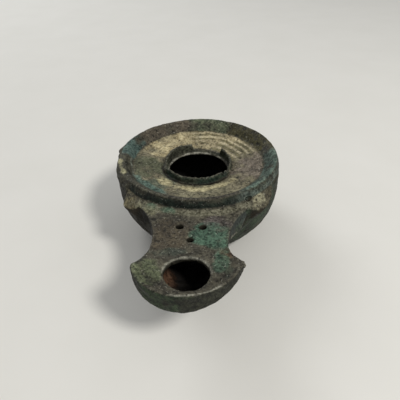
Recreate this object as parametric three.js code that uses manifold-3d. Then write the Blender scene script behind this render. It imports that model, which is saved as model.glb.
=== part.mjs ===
// Roman oil lamp, cast in bronze as one hollow piece. A deep round bowl on a low foot carries a
// dished top inside a raised rim. Round the filling hole stands a broken collar. A flat-topped
// neck with two horns where it leaves the bowl and a waist runs out to an anchor-shaped nozzle.
// Millimetres, +Z up, the nozzle towards -Y, the origin at the centre of the foot's underside.
import * as THREE from "three";
import { mergeVertices } from "three/addons/utils/BufferGeometryUtils.js";
import Module from "manifold-3d";

const wasm = await Module();
wasm.setup();

// Driving dimensions.
const BODY_HEIGHT = 37; // foot to rim crest
const BOWL_RADIUS = 35.6;
const BELLY_HEIGHT = 28; // where the bowl is widest
const BELLY_POWER = 2.7; // how late the bowl turns in towards the foot
const FOOT_SPREAD = 21.4; // the bowl's radius where its curve would meet the ground
const WALL = 2.2;

const FOOT = { radius: 20.5, height: 1.2, recess: 0.8, slope: 0.6, bevel: 0.4 };
const FOOT_RING = { width: 3.5, discRadius: 9 }; // a ring and a middle disc touch the ground
const RIM = { crestRadius: 33.8, footRadius: 35.3, drop: 4.6 };
// The rim's section as [distance from the crest circle, depth below the crest]: outwards, from the
// undercut line up to the crest, and inwards, from the crest down to the discus.
const RIM_FACE = [[1.6, 5.3], [0.7, 4.7], [1.5, 4], [1.6, 2.8], [0.8, 1], [0.4, 0.15]];
const RIM_SLOPE = [[0.4, 0], [2, 1.3], [4.1, 3.3], [5, 4.5]];
const DISCUS = { radius: 28.6, drop: 4.2, dish: 2.6, dishPower: 1.3, thickness: 1.8 };
const HOLE = { radius: 12.7, ledgeDrop: 7.4, ledgeThickness: 1.3 };
const COLLAR = { outerRadius: 14.9, innerRadius: 13.7, height: 3, rooted: 0.5 };

const PLATE_TOP = BODY_HEIGHT - 4.7; // flat top of the neck
const PLATE_THICKNESS = 1.7;
const LEDGE = { rise: 0.6, width: 3.2 }; // soft step where the plate meets the rim's foot
const NOZZLE = { centreY: -59.2, radius: 19.3, halfWidth: 18.5, tipBackY: -63.6, rise: 0.6 };
const SKEW = { slope: 0.07, from: -52, to: -62 }; // the nozzle was made a little askew
const CREST = { rise: 0.5, width: 1.2, endY: -63.6, fade: 4 }; // raised front edge of the nozzle
const DISH = { depth: 0.7, width: 3 }; // shallow channel behind the crest
const WAIST = { halfWidth: 13.4, y: -54, frontArc: 11.5, backArc: 33 };
const CUSP = { x: 21.4, y: -32.3 }; // where the neck's side meets the horn
// The horns' outlines from the cusp to the bowl. The left one is shorter and more rounded.
const RIGHT_HORN = [[25.2, -31.4], [28.6, -28.8], [30.4, -24.6], [31.4, -18.5]];
const LEFT_HORN = [[25.2, -31.9], [28.4, -30], [29, -27.4], [27, -23.4]];
const HORN_ROOT = { x: 21.4, y: -10.7 }; // inside the bowl
const HORN_DROP = { from: 36, to: 40.5, depth: 2.6, blend: 3 }; // the horn's top slopes down outwards
const WICK_HOLE = { y: -68.2, halfWidth: 7.4, halfLength: 6.7 };
const VENT = { radius: 1.25, halfGap: 4.2, y: -44.7, frontY: -51.7, segments: 12 };
const SHAFT = { bottom: 26.3, top: 42 }; // every hole is cut straight down between these heights
const CHANNEL = { halfWidth: 8.6, rearY: -24, roofAtBowl: 5.2, floor: 2.9, leastHeight: 1 };
const ROOF_DROP = [-58, -36.3]; // the passage's roof sinks towards the bowl between these places
const RESERVOIR = { floor: 2.4, shoulder: 28.6, steps: 8, roofBend: 22.6, roofInside: 16 };
const TAIL = { sink: 5, from: 30.3, to: 33.3 }; // inside the bowl the neck's tail lies buried this deep

// Depth of the neck's and nozzle's side wall below the plate, at each corner of the outline.
const SIDE = { front: 6.8, frontPower: 1.5, tip: 2.8, waist: 2.8, cusp: 2.4, horn: 2.6, lean: 0.22 };
// Between waist and cusp the wall is deeper and flares below, most of all nearer the cusp.
const SCOOP = { depth: 4.4, outset: 1, lateness: 1.5 };
const KEEL = { atWick: 12.8, growth: 14, power: 0.8 };

// Wear of the rim's crest on the left side, and stretches of the collar that are broken away.
const RIM_WEAR = { direction: 200, spread: 30, loss: 1.1 };
const COLLAR_BREAKS = [
  { direction: 75, halfWidth: 32, loss: 0.97 },
  { direction: 190, halfWidth: 16, loss: 0.55 },
  { direction: 330, halfWidth: 14, loss: 0.7 },
];

const STRETCH_CORE = 0.65; // the share of a stretch that has its full effect

const BODY_SEGMENTS = 64;
const CAVITY_SEGMENTS = 40;
const BOWL_STEPS = 9;
const DISCUS_STEPS = 4;
const OUTLINE_STEPS = { front: 13, flank: 6, back: 9, horn: 8 };
// Where the neck's rings lie: shares of the way in to the spine below, distances in on top.
const UNDERSIDE_SHARES = [1, 0.8, 0.6, 0.42, 0.26, 0.12, 0.04];
const TOP_INSETS = [0.8, 1.5, 2.6, 4.2, 8, 13];
const NEARLY_IN = 0.97; // the top's rings stop this share of the way in at most

const degrees = THREE.MathUtils.degToRad;
const { clamp, lerp, smoothstep } = THREE.MathUtils;

// A closed geometry as a solid: only positions, shared corners merged, collapsed faces dropped.
function solidOf(geometry) {
  const bare = new THREE.BufferGeometry();
  bare.setAttribute("position", geometry.getAttribute("position"));
  bare.setIndex(geometry.getIndex());
  const merged = mergeVertices(bare, 1e-3);
  const corners = merged.index.array;
  const kept = [];
  for (let i = 0; i < corners.length; i += 3) {
    const [a, b, c] = [corners[i], corners[i + 1], corners[i + 2]];
    if (a !== b && b !== c && c !== a) kept.push(a, b, c);
  }
  return new wasm.Manifold(
    new wasm.Mesh({
      numProp: 3,
      vertProperties: merged.attributes.position.array,
      triVerts: new Uint32Array(kept),
    }),
  );
}

// A solid skinned over rings of equal length. Each ring runs anticlockwise seen from above, and
// they go out along the underside, up the outside and in over the top. The skin closes because its
// first and last rings are each flattened to a line, or because they are one and the same ring.
function skinned(rings) {
  const count = rings[0].length;
  const geometry = new THREE.BufferGeometry().setFromPoints(rings.flat());
  const faces = [];
  for (let ring = 0; ring + 1 < rings.length; ring++) {
    for (let i = 0; i < count; i++) {
      const here = ring * count + i;
      const next = ring * count + ((i + 1) % count);
      faces.push(here, next, next + count, here, next + count, here + count);
    }
  }
  geometry.setIndex(faces);
  return solidOf(geometry);
}

// A profile of [radius, height] pairs, from the axis at the bottom to the axis at the top, turned
// about Z. The reshape function may move each corner afterwards.
function turned(profile, segments, reshape) {
  const points = profile.map(([radius, height]) => new THREE.Vector2(radius, height));
  const geometry = new THREE.LatheGeometry(points, segments).rotateX(Math.PI / 2);
  if (reshape) {
    const position = geometry.getAttribute("position");
    const corner = new THREE.Vector3();
    for (let i = 0; i < position.count; i++) {
      reshape(corner.fromBufferAttribute(position, i));
      position.setXYZ(i, corner.x, corner.y, corner.z);
    }
  }
  return solidOf(geometry);
}

// How strongly an angle lies in a stretch about a direction, from 0 outside to 1 at its middle.
function within(angle, direction, halfWidth) {
  const away = Math.abs(THREE.MathUtils.euclideanModulo(angle - direction + 180, 360) - 180);
  return 1 - smoothstep(away, halfWidth * STRETCH_CORE, halfWidth);
}

function angleOf(x, y) {
  return THREE.MathUtils.radToDeg(Math.atan2(y, x));
}

// ---- Bowl, rim and discus ----

function bowlRadius(height) {
  const below = Math.max(0, BELLY_HEIGHT - height) / BELLY_HEIGHT;
  return BOWL_RADIUS - (BOWL_RADIUS - FOOT_SPREAD) * below ** BELLY_POWER;
}

function discusHeight(radius) {
  const share = clamp((radius - COLLAR.outerRadius) / (DISCUS.radius - COLLAR.outerRadius), 0, 1);
  return BODY_HEIGHT - DISCUS.drop - DISCUS.dish * (1 - share) ** DISCUS.dishPower;
}

function bowlProfile(from, to, steps, thickness) {
  const profile = [];
  for (let i = 0; i <= steps; i++) {
    const height = lerp(from, to, Math.sin((i / steps) * (Math.PI / 2)));
    profile.push([bowlRadius(height) - thickness, height]);
  }
  return profile;
}

function discusProfile(from, to, steps, sink) {
  const profile = [];
  for (let i = 0; i <= steps; i++) {
    const radius = lerp(from, to, i / steps);
    profile.push([radius, discusHeight(radius) - sink]);
  }
  return profile;
}

function bodyProfile() {
  const ledge = BODY_HEIGHT - HOLE.ledgeDrop;
  const ringInside = FOOT.radius - FOOT_RING.width;
  const foot = [
    [0, 0],
    [FOOT_RING.discRadius, 0],
    [FOOT_RING.discRadius + FOOT.slope, FOOT.recess],
    [ringInside, FOOT.recess],
    [ringInside + FOOT.slope, 0],
    [FOOT.radius - FOOT.bevel, 0],
    [FOOT.radius, FOOT.bevel],
    [FOOT.radius, FOOT.height],
  ];
  const bowlTop = BODY_HEIGHT - RIM.drop - WALL;
  return [
    ...foot,
    ...bowlProfile(FOOT.height, bowlTop, BOWL_STEPS, 0),
    ...RIM_FACE.map(([out, below]) => [RIM.crestRadius + out, BODY_HEIGHT - below]),
    ...RIM_SLOPE.map(([inwards, below]) => [RIM.crestRadius - inwards, BODY_HEIGHT - below]),
    ...discusProfile(DISCUS.radius - 1, COLLAR.outerRadius, DISCUS_STEPS, 0),
    [COLLAR.innerRadius, discusHeight(COLLAR.innerRadius)],
    [COLLAR.innerRadius, ledge],
    [0, ledge],
  ];
}

// The crest is worn down over one stretch of the rim.
function wearRim(corner) {
  const height = smoothstep(corner.z, BODY_HEIGHT - RIM.drop, BODY_HEIGHT);
  const angle = angleOf(corner.x, corner.y);
  corner.z -= RIM_WEAR.loss * height * within(angle, RIM_WEAR.direction, RIM_WEAR.spread);
}

// ---- Collar ----

function collarHeight(angle) {
  const left = COLLAR_BREAKS.reduce(
    (share, part) => share * (1 - part.loss * within(angle, part.direction, part.halfWidth)),
    1,
  );
  return COLLAR.height * left;
}

function collar() {
  const ledge = BODY_HEIGHT - HOLE.ledgeDrop;
  const base = discusHeight(COLLAR.outerRadius);
  const ringAt = (radius, height) => {
    const ring = [];
    for (let i = 0; i < BODY_SEGMENTS; i++) {
      const angle = (i / BODY_SEGMENTS) * 360;
      const [x, y] = [radius * Math.cos(degrees(angle)), radius * Math.sin(degrees(angle))];
      ring.push(new THREE.Vector3(x, y, height(angle)));
    }
    return ring;
  };
  const top = (angle) => base + collarHeight(angle);
  const low = () => ledge - COLLAR.rooted;
  return skinned([
    ringAt(COLLAR.innerRadius, low),
    ringAt(COLLAR.outerRadius, low),
    ringAt(COLLAR.outerRadius, top),
    ringAt(COLLAR.innerRadius, top),
    ringAt(COLLAR.innerRadius, low),
  ]);
}

// ---- Neck, horns and nozzle ----

// A point of the outline in plan. It looks to a point of a spine that runs from the wick hole into
// the bowl, the nearest one unless stated. The side wall has a depth there, and its lower edge may
// stand out.
function edgePoint(x, y, depth, outset = 0, spine = clamp(y, WICK_HOLE.y, CHANNEL.rearY)) {
  return { x, y, depth, outset, spine };
}

// Half of the outline, from the nozzle's front to the root of a horn inside the bowl. Both halves
// look to the same points of the spine, however their horns differ.
function outlineHalf(hornLine) {
  const half = [];
  const sweep = Math.asin(NOZZLE.halfWidth / NOZZLE.radius);
  for (let i = 0; i <= OUTLINE_STEPS.front; i++) {
    const share = i / OUTLINE_STEPS.front;
    const angle = share * sweep;
    const [x, y] = [NOZZLE.radius * Math.sin(angle), NOZZLE.centreY - NOZZLE.radius * Math.cos(angle)];
    half.push(edgePoint(x, y, lerp(SIDE.front, SIDE.tip, share ** SIDE.frontPower)));
  }
  const reach = WAIST.y - NOZZLE.tipBackY;
  for (let i = 0; i < OUTLINE_STEPS.flank; i++) {
    const share = i / OUTLINE_STEPS.flank;
    const away = reach * (1 - share);
    const x = WAIST.halfWidth + WAIST.frontArc - Math.sqrt(WAIST.frontArc ** 2 - away ** 2);
    half.push(edgePoint(x, WAIST.y - away, lerp(SIDE.tip, SIDE.waist, share)));
  }
  for (let i = 0; i < OUTLINE_STEPS.back; i++) {
    const share = i / OUTLINE_STEPS.back;
    const away = (CUSP.y - WAIST.y) * share;
    const x = WAIST.halfWidth + WAIST.backArc - Math.sqrt(WAIST.backArc ** 2 - away ** 2);
    const bulge = Math.sin(Math.PI * share ** SCOOP.lateness);
    const depth = lerp(SIDE.waist, SIDE.cusp, share) + SCOOP.depth * bulge;
    half.push(edgePoint(x, WAIST.y + away, depth, SCOOP.outset * bulge));
  }
  half.push(edgePoint(CUSP.x, CUSP.y, SIDE.cusp));
  const corners = [[CUSP.x, CUSP.y], ...hornLine].map(([x, y]) => new THREE.Vector2(x, y));
  const horn = new THREE.SplineCurve(corners);
  for (let i = 1; i <= OUTLINE_STEPS.horn; i++) {
    const share = i / OUTLINE_STEPS.horn;
    const point = horn.getPoint(share);
    const spine = lerp(CUSP.y, CHANNEL.rearY, share);
    half.push(edgePoint(point.x, point.y, lerp(SIDE.cusp, SIDE.horn, share), 0, spine));
  }
  half.push(edgePoint(HORN_ROOT.x, HORN_ROOT.y, SIDE.horn));
  return half;
}

// The whole outline, anticlockwise from the nozzle's front, with its tail inside the bowl. The
// nozzle's left side lies a little further forward and its wall is a little deeper.
function outline() {
  const mirrored = outlineHalf(LEFT_HORN).slice(1).reverse();
  const left = mirrored.map((point) => ({ ...point, x: -point.x }));
  const whole = [...outlineHalf(RIGHT_HORN), ...left];
  return whole.map((point) => {
    const share = smoothstep(-point.y, -SKEW.from, -SKEW.to);
    const y = point.y + SKEW.slope * point.x * share;
    const depth = point.depth * (1 - (SIDE.lean * share * point.x) / NOZZLE.halfWidth);
    return { ...point, y, depth };
  });
}

function keelDepth(spine) {
  const share = (spine - WICK_HOLE.y) / (CHANNEL.rearY - WICK_HOLE.y);
  return KEEL.atWick + KEEL.growth * share ** KEEL.power;
}

// The upper surface. Along the nozzle's front it has a raised crest with a shallow dish behind it,
// the horns slope down outwards, it steps up softly to the rim's foot, and inside the rim it sinks.
function plateHeight(x, y) {
  const straight = y - SKEW.slope * x;
  const inwards = NOZZLE.radius - Math.hypot(x, straight - NOZZLE.centreY);
  const front = 1 - smoothstep(straight, CREST.endY - CREST.fade, CREST.endY);
  const crest = CREST.rise * (1 - smoothstep(inwards, CREST.width / 2, CREST.width * 1.5));
  const dish = DISH.depth * Math.sin(Math.PI * clamp((inwards - CREST.width) / DISH.width, 0, 1));
  const rise = NOZZLE.rise * smoothstep(-y, -WAIST.y, -NOZZLE.tipBackY);
  const radius = Math.hypot(x, y);
  const out = smoothstep(radius, HORN_DROP.from, HORN_DROP.to);
  const side = smoothstep(Math.abs(x), CUSP.x - HORN_DROP.blend, CUSP.x + HORN_DROP.blend);
  const ledge = LEDGE.rise * (1 - smoothstep(radius, RIM.footRadius, RIM.footRadius + LEDGE.width));
  const sink = TAIL.sink * (1 - smoothstep(radius, TAIL.from, TAIL.to));
  return PLATE_TOP + rise + front * (crest - dish) + ledge - HORN_DROP.depth * out * side - sink;
}

// A point between an outline point and the spine, at a share of the way in.
function inwardPoint(edge, share) {
  return [edge.x * (1 - share), lerp(edge.y, edge.spine, share)];
}

function inwardLength(edge) {
  return Math.hypot(edge.x, edge.y - edge.spine);
}

function undersideDepth(edge, share) {
  return lerp(edge.depth, keelDepth(edge.spine), Math.sin(share * (Math.PI / 2)));
}

function neckBlock() {
  const edges = outline();
  const underside = UNDERSIDE_SHARES.map((share) =>
    edges.map((edge) => {
      const [x, y] = inwardPoint(edge, share);
      return new THREE.Vector3(x, y, PLATE_TOP - undersideDepth(edge, share));
    }),
  );
  const lowerEdge = edges.map((edge) => {
    const out = 1 + edge.outset / inwardLength(edge);
    const z = plateHeight(edge.x, edge.y) - edge.depth;
    return new THREE.Vector3(edge.x * out, edge.y, z);
  });
  const upperEdge = edges.map((edge) => new THREE.Vector3(edge.x, edge.y, plateHeight(edge.x, edge.y)));
  const top = TOP_INSETS.map((inset) =>
    edges.map((edge) => {
      const [x, y] = inwardPoint(edge, Math.min(inset / inwardLength(edge), NEARLY_IN));
      return new THREE.Vector3(x, y, plateHeight(x, y));
    }),
  );
  const middle = edges.map((edge) => new THREE.Vector3(0, edge.spine, plateHeight(0, edge.spine)));
  return skinned([...underside, lowerEdge, upperEdge, ...top, middle]);
}

// ---- Hollow inside ----

function reservoir() {
  const roofEdge = discusHeight(DISCUS.radius) - DISCUS.thickness;
  const roofAtHole = BODY_HEIGHT - HOLE.ledgeDrop - HOLE.ledgeThickness;
  return turned(
    [
      [0, RESERVOIR.floor],
      ...bowlProfile(RESERVOIR.floor, RESERVOIR.shoulder, RESERVOIR.steps, WALL),
      [DISCUS.radius, roofEdge],
      ...discusProfile(RESERVOIR.roofBend, RESERVOIR.roofInside, 2, DISCUS.thickness),
      [HOLE.radius, roofAtHole],
      [0, roofAtHole],
    ],
    CAVITY_SEGMENTS,
  );
}

function channelRoof(y) {
  const share = smoothstep(y, ...ROOF_DROP);
  return PLATE_TOP - lerp(PLATE_THICKNESS, CHANNEL.roofAtBowl, share);
}

// The passage from the wick hole to the reservoir keeps a wall's thickness inside the hull.
function channel() {
  const edges = outline();
  const startShare = (edge) => {
    const length = inwardLength(edge);
    return 1 - Math.min(length - WALL, CHANNEL.halfWidth) / length;
  };
  const at = (edge, share, height) => {
    const [x, y] = inwardPoint(edge, lerp(startShare(edge), 1, share));
    return new THREE.Vector3(x, y, height(y, lerp(startShare(edge), 1, share)));
  };
  const floorOf = (edge) => (y, share) => {
    const floor = PLATE_TOP - undersideDepth(edge, share) + CHANNEL.floor;
    return Math.min(floor, channelRoof(y) - CHANNEL.leastHeight);
  };
  const floor = [1, 0.75, 0.5, 0.25, 0].map((share) => edges.map((edge) => at(edge, share, floorOf(edge))));
  const roof = [0, 1].map((share) => edges.map((edge) => at(edge, share, channelRoof)));
  return skinned([...floor, ...roof]);
}

// An upright cutter with an elliptical section, from inside the hollow to above everything.
function shaft(x, y, halfWidth, halfLength, segments) {
  const geometry = new THREE.CylinderGeometry(1, 1, SHAFT.top - SHAFT.bottom, segments);
  geometry.rotateX(Math.PI / 2);
  geometry.scale(halfWidth, halfLength, 1);
  geometry.translate(x, y, (SHAFT.top + SHAFT.bottom) / 2);
  return solidOf(geometry);
}

function holes() {
  const vents = [[-VENT.halfGap, VENT.y], [VENT.halfGap, VENT.y], [0, VENT.frontY]];
  return [
    shaft(0, 0, HOLE.radius, HOLE.radius, CAVITY_SEGMENTS),
    shaft(0, WICK_HOLE.y, WICK_HOLE.halfWidth, WICK_HOLE.halfLength, CAVITY_SEGMENTS),
    ...vents.map(([x, y]) => shaft(x, y, VENT.radius, VENT.radius, VENT.segments)),
  ];
}

// ---- The lamp ----

function lampSolid() {
  let lamp = turned(bodyProfile(), BODY_SEGMENTS, wearRim).add(neckBlock());
  for (const hollow of [reservoir(), channel(), ...holes()]) lamp = lamp.subtract(hollow);
  return lamp.add(collar());
}

function geometryOf(solid) {
  const mesh = solid.getMesh();
  const geometry = new THREE.BufferGeometry();
  geometry.setAttribute("position", new THREE.BufferAttribute(new Float32Array(mesh.vertProperties), 3));
  geometry.setIndex(new THREE.BufferAttribute(new Uint32Array(mesh.triVerts), 1));
  geometry.computeVertexNormals();
  return geometry;
}

const bronze = new THREE.MeshStandardMaterial({ color: 0x5b6152, roughness: 0.75, metalness: 0.3 });

const lamp = new THREE.Mesh(geometryOf(lampSolid()), bronze);
lamp.name = "lamp";

const group = new THREE.Group();
group.add(lamp);

export default group;
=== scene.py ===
import math

import bpy
import numpy as np
from mathutils import Matrix, Vector


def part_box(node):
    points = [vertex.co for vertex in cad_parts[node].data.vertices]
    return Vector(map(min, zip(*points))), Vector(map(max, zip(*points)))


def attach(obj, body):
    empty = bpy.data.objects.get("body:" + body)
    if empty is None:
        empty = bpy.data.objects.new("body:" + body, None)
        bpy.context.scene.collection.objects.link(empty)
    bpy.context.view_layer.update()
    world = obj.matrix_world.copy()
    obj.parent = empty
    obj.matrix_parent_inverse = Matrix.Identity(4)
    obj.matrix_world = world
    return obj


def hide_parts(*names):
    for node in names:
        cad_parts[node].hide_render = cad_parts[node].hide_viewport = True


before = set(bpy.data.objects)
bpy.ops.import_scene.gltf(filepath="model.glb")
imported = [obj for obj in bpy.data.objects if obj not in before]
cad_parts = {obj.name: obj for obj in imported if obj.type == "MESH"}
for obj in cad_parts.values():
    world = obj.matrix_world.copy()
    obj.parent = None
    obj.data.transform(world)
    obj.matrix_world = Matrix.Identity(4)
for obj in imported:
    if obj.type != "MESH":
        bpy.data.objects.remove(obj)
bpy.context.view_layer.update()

# The lamp's skin is modelled as a distance field in millimetres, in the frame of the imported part, and
# turned into one fine mesh that stands for the node "lamp": the same forms without facets, and with
# cast fillets, broken edges, pits and crust.

LOW, HIGH = [[1000 * v for v in corner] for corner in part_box("lamp")]
STEP = 0.6  # the grid's pitch

# ---- Dimensions of the imported part, in millimetres ----

MM = 0.001
CREST, BOWL, NOSE = HIGH[2], HIGH[0], LOW[1]  # the rim's height, the bowl's radius, the nozzle's front
WALL = 2.2
PAST_AXIS = -5  # sections run a little past the axis, so that no surface stands on it

# The bowl: the height where it is widest, its radius at the table, and the foot's section.
BELLY, SPREAD = 28.0, 21.4
FOOT = [(PAST_AXIS, 0), (9, 0), (9.6, 0.8), (17, 0.8), (17.6, 0), (20.1, 0), (20.5, 0.4), (20.5, 1.2)]
FOOT_TOP = 1.5

# The rim, in steps out from RIM_R and down from the crest: its upright face, then its inner slope.
RIM_R, RIM_DROP = 33.8, 4.6
RIM_FACE = [(1.6, 5.3), (0.75, 4.75), (1.45, 4.1), (1.6, 2.8), (0.9, 1.0), (0.45, 0.2)]
RIM_SLOPE = [(-0.4, 0.0), (-2.0, 1.3), (-4.1, 3.3), (-4.9, 4.35)]

# The dished top, the filling hole and its collar.
DISCUS_R, DISCUS_DROP, DISCUS_DISH = 28.6, 4.2, 2.6
HOLE_R, LEDGE_Z, ROOF_Z = 12.7, CREST - 7.4, CREST - 8.7
COLLAR_OUT, COLLAR_IN, COLLAR_H = 14.9, 13.7, 3.0

# The hollow of the bowl.
RESERVOIR_FLOOR, RESERVOIR_TOP, RESERVOIR_ROOF, ROOF_INNER_R = 2.4, 28.6, 1.8, 16

# The neck's plan: nozzle, tips, waist, cusps and horns. The nozzle is turned a little by the skew.
PLATE = CREST - 4.7
NOZZLE_Y, NOZZLE_R, NOZZLE_HALF = NOSE + 19.34, 19.3, 18.5
TIP_BACK = -63.6
WAIST_HALF, WAIST_Y, FRONT_ARC, BACK_ARC = 13.4, -54.0, 11.5, 33.0
CUSP = (21.4, -32.3)
RIGHT_HORN = [CUSP, (25.2, -31.4), (28.6, -28.8), (30.4, -24.6), (31.4, -18.5)]
LEFT_HORN = [CUSP, (25.2, -31.9), (28.4, -30), (29, -27.4), (27, -23.4)]
HORN_ROOT = (21.4, -10.7)
SKEW, SKEW_FROM, SKEW_TO = 0.07, 52, 62

# How deep the neck's edge is: at the nozzle's front, along the neck, at the cusp and on the horn.
NOSE_DEPTH, EDGE_DEPTH, CUSP_DEPTH, HORN_DEPTH = 6.8, 2.8, 2.4, 2.5
SCOOP_DEPTH, SCOOP_REAR, SCOOP_HOLLOW = 4.4, 2.1, 1.2
HORN_DROP, PLATE_RISE = 2.6, 0.6
SPINE_END, NECK_START = -24.0, 31.6
KEEL_DEPTH, KEEL_GROWTH = 12.8, 14

# The passage to the wick hole, and the vents. The openings' shafts end below the roof, at SHAFT_Z.
PASSAGE_FLOOR, PASSAGE_HALF, PASSAGE_ROOF_FRONT, PASSAGE_ROOF_REAR = 2.9, 8.6, 1.7, 5.2
WICK_Y, WICK_A, WICK_B = -68.2, 7.4, 6.7
VENTS, VENT_R = [(-4.2, -44.7), (4.2, -44.7), (0, -51.7)], 1.35
SHAFT_Z = 26.3

# Wear round the lamp. A row is a size, a direction in degrees, a half width and the share at full size.
RIM_WEAR = [(1.15, 195, 30, 0.6), (0.18, 262, 50, 0.6), (0.35, 118, 14, 0.2)]
COLLAR_LOSSES = [(0.95, 75, 31, 0.8), (0.5, 192, 15, 0.6), (0.65, 331, 13, 0.6)]
COLLAR_POINTS = [(0.9, 138, 36, 0.3), (0.3, 108, 7, 0.2), (0.5, 41, 8, 0.2)]

# Crust grown on the rim: such a row, then its height and its reach up and down.
RIM_CRUST = [(1.8, 170, 15, 0.4, 34.6, 3.2), (1.7, 214, 28, 0.6, 32.4, 3.8)]

# Lumps of crust, and casting pits and chips: a place and a radius.
LUMPS = [
    (12.4, -7.0, 31.3, 1.1), (13.8, -5.6, 30.9, 0.9), (18.3, -64.6, 33.0, 0.8), (-13.9, -5.8, 31.0, 1.1),
    (-14.6, -3.4, 30.6, 0.8),
]
PITS = [
    (20.7, -28.4, 33.0, 1.1), (21.7, -27.6, 33.1, 0.9), (15.4, -6.6, 30.6, 0.7), (26.6, -30.8, 29.4, 1.1),
    (-8.0, -73.5, 33.0, 0.4), (9.5, -37.5, 32.9, 0.4), (-27.2, 24.6, 37.2, 1.0), (33.6, 6.1, 37.3, 0.7),
]

# The skin's triangles after the hollow has been thinned out.
TRIANGLES = 192000


# ---- Small tools on arrays ----

def mix(a, b, t):
    """From a to b as t goes from 0 to 1."""
    return a + (b - a) * t


def step(x, a, b):
    """A smooth rise from 0 at a to 1 at b."""
    t = np.clip((x - a) / (b - a), 0, 1)
    return t * t * (3 - 2 * t)


def smin(a, b, k):
    """The union of two fields, with a fillet of about k."""
    h = np.clip(0.5 + 0.5 * (b - a) / k, 0, 1)
    return mix(b, a, h) - k * h * (1 - h)


def smax(a, b, k):
    """What two fields share, with an edge rounded by about k."""
    return -smin(-a, -b, k)


def bump(t, centre, half):
    """1 at the centre, falling smoothly to 0 at a distance of half."""
    return 1 - step(np.abs(t - centre), 0, half)


def stretch(angle, direction, half, core=0.6):
    """1 round a direction in degrees, falling to 0 at a half width away. The core stays at 1."""
    away = np.abs((angle - direction + 180) % 360 - 180)
    return 1 - step(away, half * core, half)


def stretches(angle, rows):
    """The sum of several stretches, each with its own size."""
    return sum(size * stretch(angle, direction, half, core) for size, direction, half, core in rows)


def polygon_distance(points, px, py):
    """Signed distance to a closed polygon, negative inside."""
    points = np.asarray(points, np.float32)
    best = np.full(px.shape, 1e9, np.float32)
    odd = np.zeros(px.shape, bool)
    for (ax, ay), (bx, by) in zip(points, np.roll(points, -1, axis=0)):
        ex, ey = bx - ax, by - ay
        wx, wy = px - ax, py - ay
        t = np.clip((wx * ex + wy * ey) / (ex * ex + ey * ey + 1e-12), 0, 1)
        best = np.minimum(best, (wx - ex * t) ** 2 + (wy - ey * t) ** 2)
        if ay != by:
            odd ^= ((py >= ay) != (py >= by)) & (px < ax + (py - ay) * ex / ey)
    return np.where(odd, -1, 1) * np.sqrt(best)


def chaikin(points, rounds=2):
    """Cuts the corners of an open line, keeping its ends."""
    points = np.asarray(points, float)
    for _ in range(rounds):
        a, b = points[:-1], points[1:]
        cut = np.stack([mix(a, b, 0.25), mix(a, b, 0.75)], 1).reshape(-1, 2)
        points = np.vstack([points[:1], cut, points[-1:]])
    return points


def spline(points, steps):
    """A Catmull-Rom line through the points."""
    p = np.asarray(points, float)
    p = np.vstack([2 * p[0] - p[1], p, 2 * p[-1] - p[-2]])
    out = []
    for i in range(1, len(p) - 2):
        for t in np.arange(steps) / steps:
            a, b, c, d = p[i - 1:i + 3]
            out.append(0.5 * (2 * b + (c - a) * t + (2 * a - 5 * b + 4 * c - d) * t * t
                              + (3 * b - a - 3 * c + d) * t ** 3))
    return np.vstack([out, points[-1]])


def lattice(cell, seed):
    """A repeatable random number from 0 to 1 for each whole-numbered place."""
    h = (cell[..., 0] * 73856093) ^ (cell[..., 1] * 19349663) ^ (cell[..., 2] * 83492791)
    h = h ^ (seed * 2654435)
    h = (h ^ (h >> 13)) * 1274126177 & 0x7FFFFFFF
    h = (h ^ (h >> 16)) * 668265263 & 0x7FFFFFFF
    return (h & 0xFFFF) / 65535.0


def noise(p, size, seed):
    """Smooth noise from -1 to 1 with features of the given size in millimetres."""
    q = p / size + 57.3
    cell = np.floor(q).astype(np.int64)
    f = q - cell
    f = f * f * (3 - 2 * f)
    total = 0
    for dx in (0, 1):
        for dy in (0, 1):
            for dz in (0, 1):
                w = ((f[..., 0] if dx else 1 - f[..., 0]) * (f[..., 1] if dy else 1 - f[..., 1])
                     * (f[..., 2] if dz else 1 - f[..., 2]))
                total = total + w * lattice(cell + np.array([dx, dy, dz]), seed)
    return 2 * total - 1


def fractal(p, size, seed, octaves=3):
    """Noise in octaves, each half the size and half the strength of the one before."""
    return sum(noise(p, size / 2 ** i, seed + 11 * i) * 0.5 ** i for i in range(octaves))


# ---- Sections and outlines ----

def bowl_radius(z):
    """The bowl's outer radius at a height."""
    below = np.maximum(0, BELLY - z) / BELLY
    return BOWL - (BOWL - SPREAD) * below ** 2.7


def discus_z(r):
    """The height of the dished top at a radius."""
    share = np.clip((r - COLLAR_OUT) / (DISCUS_R - COLLAR_OUT), 0, 1)
    return CREST - DISCUS_DROP - DISCUS_DISH * (1 - share) ** 1.3


def body_section():
    """The bowl's outer section, from the foot over the rim to the filling hole."""
    zs = np.linspace(FOOT_TOP, CREST - RIM_DROP - WALL, 40)
    bowl = [(bowl_radius(z), z) for z in zs]
    rim = chaikin([(RIM_R + out, CREST - down) for out, down in RIM_FACE + RIM_SLOPE])
    rs = np.linspace(DISCUS_R - 0.9, COLLAR_OUT, 20)
    top = [(r, discus_z(r)) for r in rs]
    middle = [(COLLAR_IN, discus_z(COLLAR_IN)), (COLLAR_IN, LEDGE_Z), (PAST_AXIS, LEDGE_Z)]
    return FOOT + bowl + list(rim) + top + middle


def reservoir_section():
    """The section of the bowl's hollow."""
    zs = np.linspace(RESERVOIR_FLOOR, RESERVOIR_TOP, 40)
    bowl = [(bowl_radius(z) - WALL, z) for z in zs]
    rs = np.linspace(DISCUS_R, ROOF_INNER_R, 14)
    roof = [(r, discus_z(r) - RESERVOIR_ROOF) for r in rs]
    return [(PAST_AXIS, RESERVOIR_FLOOR)] + bowl + roof + [(HOLE_R, ROOF_Z), (PAST_AXIS, ROOF_Z)]


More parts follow.
